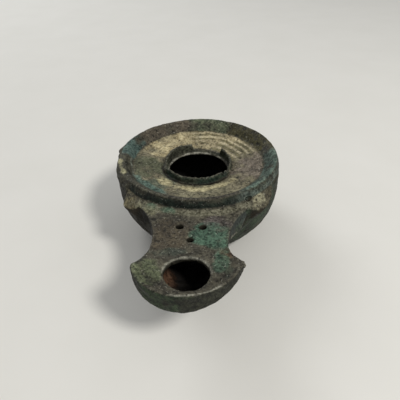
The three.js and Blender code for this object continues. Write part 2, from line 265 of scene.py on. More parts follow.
def neck_half(horn):
    """Half of the outline from the front: x, y, the edge's depth, and how scooped it is."""
    rows = []
    for share in np.linspace(0, 1, 60):
        a = share * math.asin(NOZZLE_HALF / NOZZLE_R)
        x, y = NOZZLE_R * math.sin(a), NOZZLE_Y - NOZZLE_R * math.cos(a)
        rows.append((x, y, mix(NOSE_DEPTH, EDGE_DEPTH, share ** 1.5), 0))
    for share in np.linspace(0, 1, 20, endpoint=False):
        away = (WAIST_Y - TIP_BACK) * (1 - share)
        x = WAIST_HALF + FRONT_ARC - math.sqrt(FRONT_ARC ** 2 - away ** 2)
        rows.append((x, WAIST_Y - away, EDGE_DEPTH, 0))
    for share in np.linspace(0, 1, 40, endpoint=False):
        away = (CUSP[1] - WAIST_Y) * share
        x = WAIST_HALF + BACK_ARC - math.sqrt(BACK_ARC ** 2 - away ** 2)
        scoop = math.sin(math.pi * share ** SCOOP_REAR)
        rows.append((x, WAIST_Y + away, mix(EDGE_DEPTH, CUSP_DEPTH, share) + SCOOP_DEPTH * scoop, scoop))
    for x, y in spline(horn, 8):
        rows.append((x, y, HORN_DEPTH, 0))
    return np.array(rows)


def skewed(half, side):
    """A half of the outline on its own side, with the nozzle a little askew."""
    rows = half.copy()
    share = step(-rows[:, 1], SKEW_FROM, SKEW_TO)
    rows[:, 1] += SKEW * side * rows[:, 0] * share
    rows[:, 2] *= 1 - 0.22 * side * share * rows[:, 0] / NOZZLE_HALF
    rows[:, 0] *= side
    return rows


SIDES = {1: skewed(neck_half(RIGHT_HORN), 1), -1: skewed(neck_half(LEFT_HORN), -1)}


def plate_z(x, y):
    """The height of the neck's top: a ledge by the rim, low horns, and the nozzle's crest and dish."""
    straight = y - SKEW * x
    inwards = NOZZLE_R - np.hypot(x, straight - NOZZLE_Y)
    front = 1 - step(straight, TIP_BACK - 4, TIP_BACK)
    crest = 0.5 * (1 - step(inwards, 0.6, 1.9))
    dish = 0.7 * np.sin(math.pi * np.clip((inwards - 1.2) / 3.4, 0, 1))
    rise = PLATE_RISE * step(-y, -WAIST_Y, -TIP_BACK)
    r = np.hypot(x, y)
    out = step(r, 36, 40.5)
    side = step(np.abs(x), CUSP[0] - 3, CUSP[0] + 3)
    ledge = 0.6 * (1 - step(r, 35.3, 38.5))
    return PLATE + rise + front * (crest - dish) + ledge - HORN_DROP * out * side


def by_outline(x, y):
    """How far out a place lies, from 0 on the spine to 1 at the edge, and the edge's depth and scoop."""
    u = np.zeros(x.shape)
    edge = np.zeros(x.shape + (2,))
    front = y < WICK_Y
    turn = np.degrees(np.arctan2(np.abs(x), WICK_Y - y))
    for sign, rows in SIDES.items():
        here = x * sign >= 0
        along = rows[np.argsort(rows[:, 1])]
        width = np.interp(y, along[:, 1], np.abs(along[:, 0]))
        beside = np.abs(x) / np.maximum(width, 0.5)
        row_turn = np.degrees(np.arctan2(np.abs(rows[:, 0]), WICK_Y - rows[:, 1]))
        round_wick = rows[row_turn < 95]
        row_turn = row_turn[row_turn < 95]
        reach = np.interp(turn, row_turn, np.hypot(round_wick[:, 0], round_wick[:, 1] - WICK_Y))
        before = np.hypot(x, y - WICK_Y) / reach
        u = np.where(here, np.where(front, before, beside), u)
        for i in range(2):
            at_front = np.interp(turn, row_turn, round_wick[:, 2 + i])
            at_side = np.interp(y, along[:, 1], along[:, 2 + i])
            edge[..., i] = np.where(here, np.where(front, at_front, at_side), edge[..., i])
    return np.clip(u, 0, 1), edge


# ---- The grid of the field ----

def axis_points(lo, hi):
    """The grid's places along one axis."""
    return np.arange(lo, hi, STEP, dtype=np.float32)


def tall(plan):
    """An array over the plan, made ready to meet the heights."""
    return plan[:, :, None]


xs, ys, zs = axis_points(-38.5, 38.5), axis_points(NOSE - 2.5, BOWL + 3), axis_points(-1.6, CREST + 1.8)
x2, y2 = np.meshgrid(xs, ys, indexing="ij")
z1 = zs[None, None, :]
r2 = np.hypot(x2, y2)
angle2 = np.degrees(np.arctan2(y2, x2)) % 360
flat3 = np.stack([x2, y2, np.zeros_like(x2)], -1)
x3, y3, z3, r3 = np.broadcast_arrays(tall(x2), tall(y2), z1, tall(r2))


def table_lookup(table, origin, pitch, a, b):
    """Bilinear samples of a table over two coordinates."""
    i = np.clip((a - origin[0]) / pitch, 0, table.shape[0] - 1.001)
    j = np.clip((b - origin[1]) / pitch, 0, table.shape[1] - 1.001)
    i0, j0 = i.astype(np.int32), j.astype(np.int32)
    i, j = i - i0, j - j0
    low = table[i0, j0] * (1 - i) + table[i0 + 1, j0] * i
    return low * (1 - j) + (table[i0, j0 + 1] * (1 - i) + table[i0 + 1, j0 + 1] * i) * j


def turned_field(section, radius):
    """The field of a section turned round the axis."""
    pitch, low, high = 0.12, (-1, -4), 44
    r, z = np.meshgrid(np.arange(low[0], high, pitch), np.arange(low[1], high, pitch), indexing="ij")
    table = polygon_distance(section, r.astype(np.float32), z.astype(np.float32)).astype(np.float32)
    return table_lookup(table, low, pitch, radius, z3)


def ball(x, y, z, radius):
    """The field of a small ball."""
    return np.sqrt(tall(x2 - x) ** 2 + tall(y2 - y) ** 2 + (z1 - z) ** 2) - radius


# ---- The field, part by part: below 0 in the metal ----

def bowl_field():
    """The bowl, rim and dished top, a little out of round, with crust grown on the rim's left."""
    wobble = 0.10 * np.sin(np.radians(2 * angle2 + 40)) + 0.06 * np.sin(np.radians(5 * angle2))
    bowl = turned_field(body_section(), r3 + tall(wobble))
    at_rim = step(r2, RIM_R - 0.4, RIM_R + 0.8)
    growth = sum(tall(size * stretch(angle2, direction, half, core) * at_rim) * bump(z1, height, reach)
                 for size, direction, half, core, height, reach in RIM_CRUST)
    bowl = bowl - growth * (0.5 + 0.6 * noise(np.stack([x3, y3, z3], -1), 3.0, 17))
    worn = stretches(angle2, RIM_WEAR)
    worn = worn + 0.22 * (0.5 + 0.5 * noise(flat3, 5, 3)) * (r2 > DISCUS_R)
    return smax(bowl, z1 - tall(CREST - np.where(r2 > DISCUS_R, worn, 0)), 0.25)


def neck_field():
    """The neck, horns and nozzle, and their plan, top, bottom and slope, which the passage follows."""
    root_x, root_y = HORN_ROOT
    plan = np.vstack([SIDES[1][:, :2], [[root_x, root_y], [-root_x, root_y]], SIDES[-1][::-1, :2]])
    plan = polygon_distance(plan, x2, y2)
    top = plate_z(x2, y2)
    u, edge = by_outline(x2, y2)
    depth, scoop = edge[..., 0], edge[..., 1]
    spine = np.clip(y2, WICK_Y, SPINE_END)
    keel = KEEL_DEPTH + KEEL_GROWTH * ((spine - WICK_Y) / (SPINE_END - WICK_Y)) ** 0.8
    bottom = PLATE - mix(depth, keel, np.sin((1 - u) * math.pi / 2))
    gx, gy = np.gradient(bottom, STEP)
    slope = 1 / np.sqrt(1 + np.minimum(gx * gx + gy * gy, 9))
    t = np.clip((tall(top) - z1) / tall(depth), 0, 1)
    side = tall(plan) - tall(scoop) * t + SCOOP_HOLLOW * tall(scoop) * np.sin(math.pi * t)
    neck = smax(side, z1 - tall(top), 0.55)
    neck = smax(neck, (tall(bottom) - z1) * tall(slope), 0.9)
    return smax(neck, tall(NECK_START - r2), 0.3), plan, top, bottom, slope


def collar_field():
    """The collar round the filling hole, with its broken stretches and points."""
    torn = noise(np.stack([angle2 / 3.1, np.zeros_like(angle2), np.zeros_like(angle2)], -1), 1.0, 5)
    ragged = torn * (0.3 + 0.5 * stretch(angle2, 75, 44, 0.8))
    left = 1
    for share, direction, half, core in COLLAR_LOSSES:
        left = left * (1 - share * stretch(angle2, direction, half, core))
    loss = 1 - left
    top = discus_z(COLLAR_OUT) + COLLAR_H * (1 - loss) + ragged + stretches(angle2, COLLAR_POINTS)
    ring = tall(np.abs(r2 - (COLLAR_OUT + COLLAR_IN) / 2)) - (COLLAR_OUT - COLLAR_IN) / 2
    ring = smax(ring, z1 - tall(top), 0.4)
    return np.maximum(ring, LEDGE_Z - 0.5 - z1)


def inner_field(plan, top, bottom, slope):
    """The hollow: the bowl's, the passage, and the shafts of the filling hole, wick hole and vents."""
    hollow = turned_field(reservoir_section(), r3)
    roof = PLATE - mix(PASSAGE_ROOF_FRONT, PASSAGE_ROOF_REAR, step(y2, -58, -36.3))
    floor = bottom + PASSAGE_FLOOR
    passage = tall(np.maximum(plan + WALL, np.abs(x2) - PASSAGE_HALF))
    passage = smax(smax(passage, z1 - tall(roof), 0.8), (tall(floor) - z1) * tall(slope), 1.2)
    passage = np.maximum(passage, tall(y2 - SPINE_END))
    hollow = smin(hollow, passage, 1.5)
    shaft = np.maximum(SHAFT_Z - z1, -1.0)
    fill = smax(tall(r2 - HOLE_R) + 0.15 * tall(noise(flat3, 3, 8)), shaft, 0.3)
    wick_r = np.hypot(x2 / WICK_A, (y2 - WICK_Y) / WICK_B)
    lip = 0.5 * step(z1, tall(top) - 0.7, tall(top) + 0.2)
    wick = smax(tall((wick_r - 1) * 7 + 0.12 * noise(flat3, 2.5, 9)) - lip, shaft, 0.3)
    hollow = smin(smin(hollow, fill, 0.5), wick, 0.8)
    flare = 0.35 * step(z1, tall(top) - 0.9, tall(top) + 0.3)
    for x, y in VENTS:
        vent = tall(np.hypot(x2 - x, y2 - y)) - VENT_R - flare
        hollow = smin(hollow, np.maximum(vent, shaft), 0.3)
    return hollow


def build_field():
    """The field of the whole lamp, and that of its hollow alone."""
    neck, plan, top, bottom, slope = neck_field()
    hollow = inner_field(plan, top, bottom, slope)
    field = smax(smin(bowl_field(), neck, 0.7), -hollow, 0.35)
    field = smin(field, collar_field(), 0.35)
    for lump in LUMPS:
        field = smin(field, ball(*lump), 0.6)
    for pit in PITS:
        field = smax(field, -ball(*pit), 0.35)
    return field.astype(np.float32), hollow.astype(np.float32)


# ---- From the field to a mesh ----

def sample(field, q):
    """Trilinear samples at places given in cells."""
    q = np.clip(q, 0, np.array(field.shape) - 1.001)
    i = q.astype(np.int32)
    f = q - i
    total = 0
    for dx in (0, 1):
        for dy in (0, 1):
            for dz in (0, 1):
                w = ((f[:, 0] if dx else 1 - f[:, 0]) * (f[:, 1] if dy else 1 - f[:, 1])
                     * (f[:, 2] if dz else 1 - f[:, 2]))
                total = total + w * field[i[:, 0] + dx, i[:, 1] + dy, i[:, 2] + dz]
    return total


def gradient(field, q):
    """The field's rise per cell at places given in cells."""
    out, away = np.empty_like(q), 0.6
    for axis in range(3):
        d = np.zeros(3)
        d[axis] = away
        out[:, axis] = (sample(field, q + d) - sample(field, q - d)) / (2 * away)
    return out


def surface(field):
    """The zero surface as vertices in cells and four-sided faces, by surface nets."""
    inside = field < 0
    n = np.array(field.shape) - 1
    corner = [(a, b, c) for a in (0, 1) for b in (0, 1) for c in (0, 1)]
    count = np.zeros(n, np.uint8)
    for a, b, c in corner:
        count += inside[a:n[0] + a, b:n[1] + b, c:n[2] + c]
    mixed = (count > 0) & (count < 8)
    ids = np.full(n, -1, np.int64)
    ids[mixed] = np.arange(mixed.sum())
    cells = np.argwhere(mixed)
    total, hits = np.zeros((len(cells), 3)), np.zeros(len(cells))
    for p in corner:
        for axis in range(3):
            if p[axis]:
                continue
            q = list(p)
            q[axis] = 1
            fa = field[tuple((cells + p).T)]
            fb = field[tuple((cells + q).T)]
            cut = (fa < 0) != (fb < 0)
            t = fa[cut] / (fa[cut] - fb[cut])
            total[cut] += np.array(p) + (np.array(q) - np.array(p)) * t[:, None]
            hits[cut] += 1
    places = cells + total / hits[:, None]
    faces = []
    for axis in range(3):
        o1, o2 = (axis + 1) % 3, (axis + 2) % 3
        here = [slice(None)] * 3
        there = [slice(None)] * 3
        here[axis], there[axis] = slice(0, -1), slice(1, None)
        a, b = inside[tuple(here)], inside[tuple(there)]
        e = np.argwhere(a != b)
        e = e[(e[:, o1] > 0) & (e[:, o2] > 0) & (e[:, o1] < n[o1]) & (e[:, o2] < n[o2])]
        out = a[tuple(e.T)]
        ring = []
        for d1, d2 in ((0, 0), (-1, 0), (-1, -1), (0, -1)):
            c = e.copy()
            c[:, o1] += d1
            c[:, o2] += d2
            ring.append(ids[tuple(c.T)])
        quad = np.stack(ring, 1)
        quad[~out] = quad[~out][:, ::-1]
        faces.append(quad)
    return places, np.vstack(faces)


def settled(field, places):
    """Vertices moved onto the zero surface, and their outward directions."""
    for _ in range(3):
        g = gradient(field, places)
        size = np.maximum((g * g).sum(1), 0.05)
        move = -(sample(field, places) / size)[:, None] * g
        places = places + np.clip(move, -0.4, 0.4)
    g = gradient(field, places)
    return places, g / np.maximum(np.linalg.norm(g, axis=1), 1e-6)[:, None]


field, hollow_field = build_field()
origin = np.array([xs[0], ys[0], zs[0]])
cells, faces = surface(field / STEP)
cells, outward = settled(field / STEP, cells)
points = origin + cells * STEP
in_hollow = sample(hollow_field, cells)
X, Y, Z = points.T
R = np.hypot(X, Y)
ANGLE = np.degrees(np.arctan2(Y, X)) % 360

# The mesh's edges, by the vertices at their ends.
edge_a = np.concatenate([faces[:, i] for i in range(4)])
edge_b = np.concatenate([faces[:, (i + 1) % 4] for i in range(4)])


def spread(values, rounds=1):
    """Values averaged over neighbours on the mesh."""
    for _ in range(rounds):
        shape = (len(points),) + values.shape[1:]
        total, hits = np.zeros(shape), np.zeros(len(points))
        for a, b in ((edge_a, edge_b), (edge_b, edge_a)):
            for axis in range(values.shape[1]) if values.ndim > 1 else [None]:
                if axis is None:
                    total += np.bincount(a, values[b], len(points))
                else:
                    total[:, axis] += np.bincount(a, values[b, axis], len(points))
            hits += np.bincount(a, minlength=len(points))
        values = total / (hits[:, None] if values.ndim > 1 else hits)
    return values


# How far the surface bends at each vertex: above 0 on an edge, below 0 in a crease.
bend = -((spread(points, 2) - points) * outward).sum(1) / STEP
bend = spread(bend, 1)

# Where each vertex lies, as masks from 0 to 1.
up = step(outward[:, 2], 0.2, 0.7)
inner = step(-np.abs(in_hollow), -0.5, -0.2) * (1 - step(Z, CREST - 9, CREST - 7.8))
clear = 1 - inner
on_discus = step(-R, -DISCUS_R - 0.6, -DISCUS_R + 0.6) * step(R, 14.6, 15.6) * step(Z, LEDGE_Z - 0.5, LEDGE_Z)
on_discus = on_discus * (outward[:, 2] > 0.3)
on_slope = step(R, DISCUS_R - 0.3, DISCUS_R + 0.9) * (R < RIM_R + 0.6) * (Z > 31) * (outward[:, 2] > 0.2)
on_face = step(R, RIM_R + 0.2, RIM_R + 0.8) * (R < BOWL + 1.6) * step(Z, CREST - 5.4, CREST - 4.8) * (1 - up)
on_face = on_face * (np.abs(in_hollow) > 0.5)
u, edge = by_outline(X, Y)
edge_depth, edge_scoop = edge[:, 0], edge[:, 1]
drop = (plate_z(X, Y) - Z) / np.maximum(edge_depth, 1)
wick_r = np.hypot(X / WICK_A, (Y - WICK_Y) / WICK_B)
beyond = step(R, BOWL - 0.4, BOWL + 0.6)
on_neck = beyond * up * (drop < 0.4) * (Z > PLATE - 4)
nose_r = np.hypot(X, Y - SKEW * X - NOZZLE_Y)
ahead = step(-Y, 58, 62)

# ---- Relief in millimetres: cast unevenness, corrosion crust, turned rings and pits ----

relief = 0.13 * fractal(points, 7, 1) + 0.08 * fractal(points, 2.2, 2)
crust = np.maximum(0, fractal(points, 3.2, 21)) * 0.22
crusty = np.maximum.reduce([on_discus, ahead * step(-X, 6, 12), on_face * stretch(ANGLE, 180, 45)])
relief += crust * (0.5 + 0.7 * crusty)
turned = sum(bump(R, c, 0.55) for c in (17.6, 20.4, 23.4, 26.2)) * on_discus
relief -= 0.14 * turned * step(fractal(points, 12, 31), -0.5, 0.4)
pits = step(noise(points, 1.5, 41), 0.62, 0.85)
relief -= 0.22 * pits * clear
keep_flat = step(-Z, -0.6, -0.15) * (R < 21)
relief = (relief * (1 - 0.5 * step(bend, 0.25, 0.6)) - 0.04) * (1 - keep_flat)
points = points + outward * relief[:, None]
points[:, 2] = np.maximum(points[:, 2], 0)


# ---- The patina, with painted shade and painted highlights in places: each vertex has a darker and a lighter tone, which the material mottles together ----

def srgb(r, g, b):
    """A linear colour from the usual 0 to 255."""
    line = [v / 255 for v in (r, g, b)]
    return [v / 12.92 if v <= 0.04045 else ((v + 0.055) / 1.055) ** 2.4 for v in line] + [1]


tones = np.zeros((len(points), 2, 4))


def paint(mask, dark, light, seed=None, rough=0.45, most=1.0):
    """Lays a pair of tones over a mask. With a seed the mask's border is ragged."""
    if seed is not None:
        mask = step(mask + 1.5 * rough * fractal(points, 4, seed) * np.minimum(1, 4 * mask), 0.15, 1.0)
    cover = np.clip(mask, 0, 1) * most
    tones[:] = mix(tones, np.array([srgb(*dark), srgb(*light)]), cover[:, None, None])


def paint_stretches(mask, rows):
    """Paints stretches of a mask: a direction, half width and core, then what paint() takes."""
    for direction, half, core, *paints in rows:
        paint(mask * stretch(ANGLE, direction, half, core), *paints)


def oval(cx, cy, half_x, half_y):
    """A soft oval in plan."""
    return 1 - step(np.hypot((X - cx) / half_x, (Y - cy) / half_y), 0.45, 1.1)


paint(clear, (36, 34, 26), (80, 77, 63))

# The bowl and the undersides: darker than the tops, partly dirt and partly painted shade, and darkest on the
# left, away from the light, as painted shade; with green and brown patches.
wall = (1 - up) * clear
beyond_neck = step(Y, -34, -10)
paint(wall, (18, 17, 11), (52, 50, 40))
paint_stretches(wall, [
    (225, 45, 0.6, (10, 9, 5), (38, 34, 24), 90),
    (330, 40, 0.6, (18, 20, 14), (58, 60, 48), 91),
    (315, 30, 0.6, (24, 36, 26), (72, 88, 70), 92, 0.9, 0.6),
])
for seed, dark, light in ((130, (28, 38, 28), (74, 86, 68)), (131, (40, 35, 25), (84, 77, 60))):
    paint(step(fractal(points, 15, seed), 0.0, 0.6) * wall * beyond_neck, dark, light, seed + 2, 0.5, 0.7)

# The discus: cream at the back left, arcs at the back right, olive on the left, pinkish on the right.
paint(on_discus, (80, 75, 58), (138, 131, 107))
paint_stretches(on_discus, [
    (70, 40, 0.4, (110, 99, 72), (184, 172, 138), 60),
    (128, 40, 0.5, (134, 120, 86), (204, 192, 154), 61),
    (192, 28, 0.5, (62, 64, 46), (104, 106, 84), 62),
    (228, 18, 0.4, (58, 66, 54), (116, 120, 100), 63),
    (352, 34, 0.4, (80, 72, 62), (138, 128, 114), 64),
    (278, 36, 0.5, (70, 68, 52), (146, 140, 114), 65),
])
arcs = np.sin(2 * math.pi * (R + 0.9 * noise(points, 7, 66)) / 3.1) * stretch(ANGLE, 60, 60, 0.3)
arcs = arcs * on_discus * step(fractal(points, 9, 93), -0.9, 0.1)
paint(step(arcs, 0.0, 0.7), (78, 74, 46), (124, 118, 84), most=0.8)
paint(step(-arcs, 0.1, 0.8), (158, 146, 112), (216, 205, 172), most=0.75)

# Rings on the discus: a cream one at the front; dark ones at the collar's foot, a painted shadow under the
# collar at the front and painted shade in the crease behind it; and a dark one where the rim rises.
for radius, half_width, *row in (
    (19.6, 4.2, 270, 66, 0.6, (116, 106, 74), (212, 202, 160), 67, 0.4, 0.85),
    # Painted shadow under the near side of the collar, and painted shade in the crease behind it.
    (15.6, 1.7, 255, 85, 0.8, (9, 7, 3), (28, 20, 11), 68, 0.2),
    (15.2, 1.0, 75, 40, 0.8, (14, 13, 8), (38, 34, 22), 94, 0.3),
    (DISCUS_R, 0.9, 10, 60, 0.6, (30, 30, 20), (70, 68, 50), 69),
):
    paint_stretches(on_discus * bump(R, radius, half_width), [row])

# The rim's slope, with a greenish patch that runs on to the discus, and a worn crest on the left.
paint(on_slope, (36, 35, 27), (88, 86, 72))
paint_stretches(on_slope, [
    (128, 34, 0.5, (62, 55, 46), (106, 98, 83), 100),
    (82, 24, 0.4, (46, 54, 40), (108, 114, 90), 101),
    (38, 34, 0.5, (30, 29, 16), (84, 80, 54), 102),
    (335, 42, 0.6, (34, 46, 40), (108, 126, 114), 103),
    (165, 20, 0.2, (46, 66, 62), (98, 120, 112), 104, 0.6, 0.9),
])
by_slope = step(-np.abs(R - DISCUS_R), -3.6, -1) * up * (Z > 31)
paint_stretches(by_slope, [(226, 26, 0.3, (38, 62, 54), (112, 140, 128), 105, 0.9, 0.8)])
paint_stretches(on_slope, [(278, 34, 0.6, (30, 28, 23), (84, 80, 71), 106)])
paint_stretches(on_slope * bump(R, 31.2, 1.1), [(196, 18, 0.6, (14, 14, 9), (44, 44, 34), 107, 0.3)])
streaks = on_slope * bump(R + 0.8 * noise(points, 6, 95), 29.4, 0.8)
paint_stretches(streaks, [(196, 20, 0.6, (86, 96, 84), (150, 158, 144), 108, 0.6, 0.6)])
worn_crest = (Z > CREST - 3) * bump(R, RIM_R, 1.7)
paint_stretches(worn_crest, [(199, 15, 0.5, (112, 108, 78), (186, 181, 146), 109, 0.7)])

# The rim's upright face.
paint(on_face, (28, 28, 21), (76, 75, 62))
paint_stretches(on_face, [
    (178, 42, 0.6, (20, 22, 15), (70, 70, 54), 110),
    (262, 52, 0.7, (6, 12, 9), (38, 48, 41), 111, 0.2),
    (322, 34, 0.5, (32, 42, 37), (104, 114, 104), 112),
    (10, 34, 0.4, (40, 52, 46), (106, 116, 106), 113),
])

# The collar, and the edge of the filling hole, worn and with a painted highlight along it.
by_collar = bump(R, (COLLAR_OUT + COLLAR_IN) / 2, 1.6) * (Z > LEDGE_Z) * clear
by_collar = by_collar * (np.abs(outward[:, 2]) < 0.8)
paint(by_collar, (34, 36, 27), (94, 95, 80))
paint_stretches(by_collar, [
    (40, 34, 0.7, (20, 24, 14), (58, 62, 44), 125, 0.3),
    (262, 82, 0.8, (8, 18, 13), (46, 66, 55), 120, 0.2),
])
# The filling hole's edge: worn, with a painted highlight along its back half.
hole_edge_wear_and_highlight = bump(R, HOLE_R, 1.0) * bump(Z, LEDGE_Z, 1.3)
paint_stretches(hole_edge_wear_and_highlight, [(110, 100, 0.6, (96, 94, 80), (186, 184, 170), 121)])

# The neck and nozzle: brown, greyish and olive ovals, and green tongues and patches.
paint(on_neck, (44, 41, 33), (98, 94, 80))
for *place, dark, light, seed in (
    (-8, -50, 9, 12, (50, 44, 34), (94, 86, 70), 70),
    (9, -43, 8, 5, (62, 56, 52), (116, 108, 102), 71),
    (-13, -68, 7, 8, (42, 48, 32), (112, 118, 90), 72),
    (14, -59, 4, 4, (56, 42, 28), (102, 82, 62), 73),
):
    paint(on_neck * oval(*place), dark, light, seed)
tongue = oval(7.5, -49, 9, 7.5) + 0.9 * oval(9.5, -56.5, 4.5, 7)
paint(on_neck * np.minimum(tongue, 1), (24, 50, 38), (92, 128, 106), 74, 0.6, 0.8)
paint(on_neck * oval(11, -66, 4.5, 7), (26, 50, 36), (96, 126, 104), 75, 0.9, 0.7)
paint(on_neck * oval(-7, -59, 8, 3), (36, 54, 46), (92, 106, 94), 76, 0.8, 0.45)

# The ledge before the rim, with a pale band that is partly its own tone and partly a painted highlight, and
# the horns.
# The ledge's pale band: partly its own tone, partly a painted highlight.
ledge_tone_and_highlight = on_neck * stretch(ANGLE, 264, 50, 0.8) * bump(R, 37.4, 3.0)
paint(ledge_tone_and_highlight, (68, 66, 50), (142, 139, 118), 77, 0.4, 0.9)
paint_stretches(ledge_tone_and_highlight, [(253, 15, 0.3, (66, 92, 74), (122, 144, 122), 78, 0.6, 0.8)])
paint_stretches(on_neck * bump(R, 39, 4.5), [(238, 14, 0.6, (74, 72, 52), (132, 130, 104), 96, 0.4, 0.8)])
horn_top = step(np.abs(X), 20.5, 24) * (Y > -34) * (Y < -17) * beyond * up
paint(horn_top, (42, 38, 28), (106, 101, 82), 79, 0.5)
paint(horn_top * oval(23.5, -27, 5, 5.5) * (X > 0), (70, 64, 46), (168, 164, 136), 97, 0.5, 0.9)
paint(horn_top * step(-Y, 26.5, 28) * (X < 0), (66, 58, 40), (140, 132, 102), 98, 0.4)
# The horns' fronts: brown on the left, and darker on the right as painted shade under its overhang.
horn_front = step(np.abs(X), 21, 23) * beyond * (1 - up) * (Y < -24) * (Z > 25.5) * (Z < PLATE)
paint(horn_front * (X < 0), (28, 24, 15), (60, 50, 35), 99, 0.5, 0.8)
paint(horn_front * (X > 0), (16, 14, 8), (48, 43, 31), 123, 0.5)

# The nozzle's dish and front wall, with painted highlights along its crest and on the wick hole's rim behind
# the hole.
paint(ahead * bump(nose_r, NOZZLE_R - 3.4, 2.2) * up, (32, 30, 24), (78, 74, 62), 85, 0.3, 0.7)
# The nozzle's front wall painted dark: partly dirt, partly painted shade.
front_wall = ahead * (1 - up) * step(nose_r, NOZZLE_R - 3, NOZZLE_R - 1) * (Z > PLATE - 9)
paint(front_wall, (16, 18, 13), (58, 59, 49), 80, 0.1)
paint(front_wall * oval(-8, -77, 11, 8), (22, 34, 22), (74, 90, 66), 81, 0.8, 0.7)
# A painted highlight along the nozzle's crest, where the light glints.
crest_highlight = ahead * bump(nose_r, NOZZLE_R - 0.45, 0.5) * (Z > PLATE + 0.3)
crest_highlight = crest_highlight * step(X, -6, -3) * (1 - step(X, 9, 13))
paint(crest_highlight, (110, 109, 97), (176, 174, 160), 82, 0.2, 0.9)
# A painted highlight on the wick hole's rim, at its back.
wick_rim_highlight = bump(wick_r, 1.05, 0.12) * (Y > WICK_Y) * (Z > PLATE - 0.4)
paint(wick_rim_highlight * up, (90, 90, 78), (168, 166, 152), 124, 0.4, 0.8)

# The sides between waist and horns: painted shade in the hollows, darkest on the left, away from the light,
# below a painted highlight along the edge, and a painted highlight along the ridge on the right.
hollowed = step(edge_scoop, 0.1, 0.5) * beyond * step(-Y, 30, 33) * (u > 0.75) * (1 - up)
scoop_shade = hollowed * step(drop, 0.05, 0.25) * (1 - step(drop, 0.95, 1.15))
# Painted shade in the hollows: darkest on the left, where the neck keeps the light off, lighter on the right.
paint(scoop_shade * (X < 0), (4, 4, 2), (18, 17, 11), 83, 0.15)
paint(scoop_shade * (X > 0), (24, 28, 26), (62, 68, 64), 84, 0.15)
# A painted highlight along the ridge on the lit right side.
ridge_highlight = hollowed * bump((drop - 1) * edge_depth, -0.1, 1.0) * (X > 0)
paint(ridge_highlight, (92, 90, 74), (158, 155, 136), 86, 0.35, 0.7)
# A painted highlight along the thin edge above the hollows.
edge_highlight = hollowed * bump(drop * edge_depth, 0.1, 0.7)
paint(edge_highlight, (92, 92, 78), (150, 148, 132), 87, 0.2, 0.7)

# The hollow, painted near black as shade, with a reddish patch on the passage's left side that shows through
# the wick hole: partly reddish corrosion, partly a painted pool of light.
paint(inner, (8, 7, 6), (26, 23, 20))
# A reddish patch inside: partly reddish corrosion, partly a painted pool of light.
cuprite_and_light_pool = inner * bump(X, -8, 7) * bump(Y, -62, 11) * (Z > 17)
paint(cuprite_and_light_pool, (66, 44, 30), (112, 84, 64), 88, 0.2)


def make_mesh():
    """The skin in metres, with what the material reads at each vertex."""
    mesh = bpy.data.meshes.new("lamp_skin")
    mesh.vertices.add(len(points))
    mesh.vertices.foreach_set("co", (points * MM).astype(np.float32).ravel())
    mesh.loops.add(4 * len(faces))
    mesh.loops.foreach_set("vertex_index", faces.astype(np.int32).ravel())
    mesh.polygons.add(len(faces))
    mesh.polygons.foreach_set("loop_start", np.arange(0, 4 * len(faces), 4, dtype=np.int32))
    mesh.update(calc_edges=True)
    mesh.validate()
    mesh.shade_smooth()
    layers = {"edge": step(bend, 0.12, 0.5) * clear, "crease": step(-bend, 0.1, 0.45) * clear,
              "specked": clear * np.maximum(np.maximum(up, on_face), 0.25 * ahead), "pits": pits * clear}
    for name, values in layers.items():
        layer = mesh.attributes.new(name, "FLOAT", "POINT")
        layer.data.foreach_set("value", np.clip(values, 0, 1).astype(np.float32))
    for i, name in enumerate(("dark_tone", "light_tone")):
        layer = mesh.attributes.new(name, "FLOAT_COLOR", "POINT")
        layer.data.foreach_set("color", tones[:, i].astype(np.float32).ravel())
    return mesh


lamp = bpy.data.objects.new("lamp_skin", make_mesh())
bpy.context.scene.collection.objects.link(lamp)

# Fewer faces inside the hollow, apart from where it shows: round the filling hole, wick hole and vents.
group = lamp.vertex_groups.new(name="hollow")
by_filling_hole = (Z > ROOF_Z - 0.6) & (R < 16)
by_wick_hole = (Z > 27) & (Y < -40) & (wick_r < 1.25)
by_vents = (Z > 29) & (R > 38) & (R < 56)
shows = by_filling_hole | by_wick_hole | by_vents
deep = np.nonzero((np.abs(in_hollow) < 0.3) & (np.abs(bend) < 0.15) & ~shows)[0]
group.add([int(i) for i in deep], 1.0, "REPLACE")
thin = lamp.modifiers.new("thin", "DECIMATE")
thin.decimate_type = "COLLAPSE"
thin.vertex_group = "hollow"
thin.vertex_group_factor = 1.0
thin.ratio = min(1.0, TRIANGLES / (2 * len(faces)))
depsgraph = bpy.context.evaluated_depsgraph_get()
thinned = bpy.data.meshes.new_from_object(lamp.evaluated_get(depsgraph))
lamp.modifiers.clear()
lamp.vertex_groups.clear()
lamp.data = thinned
lamp.data.shade_smooth()


# ---- Materials ----

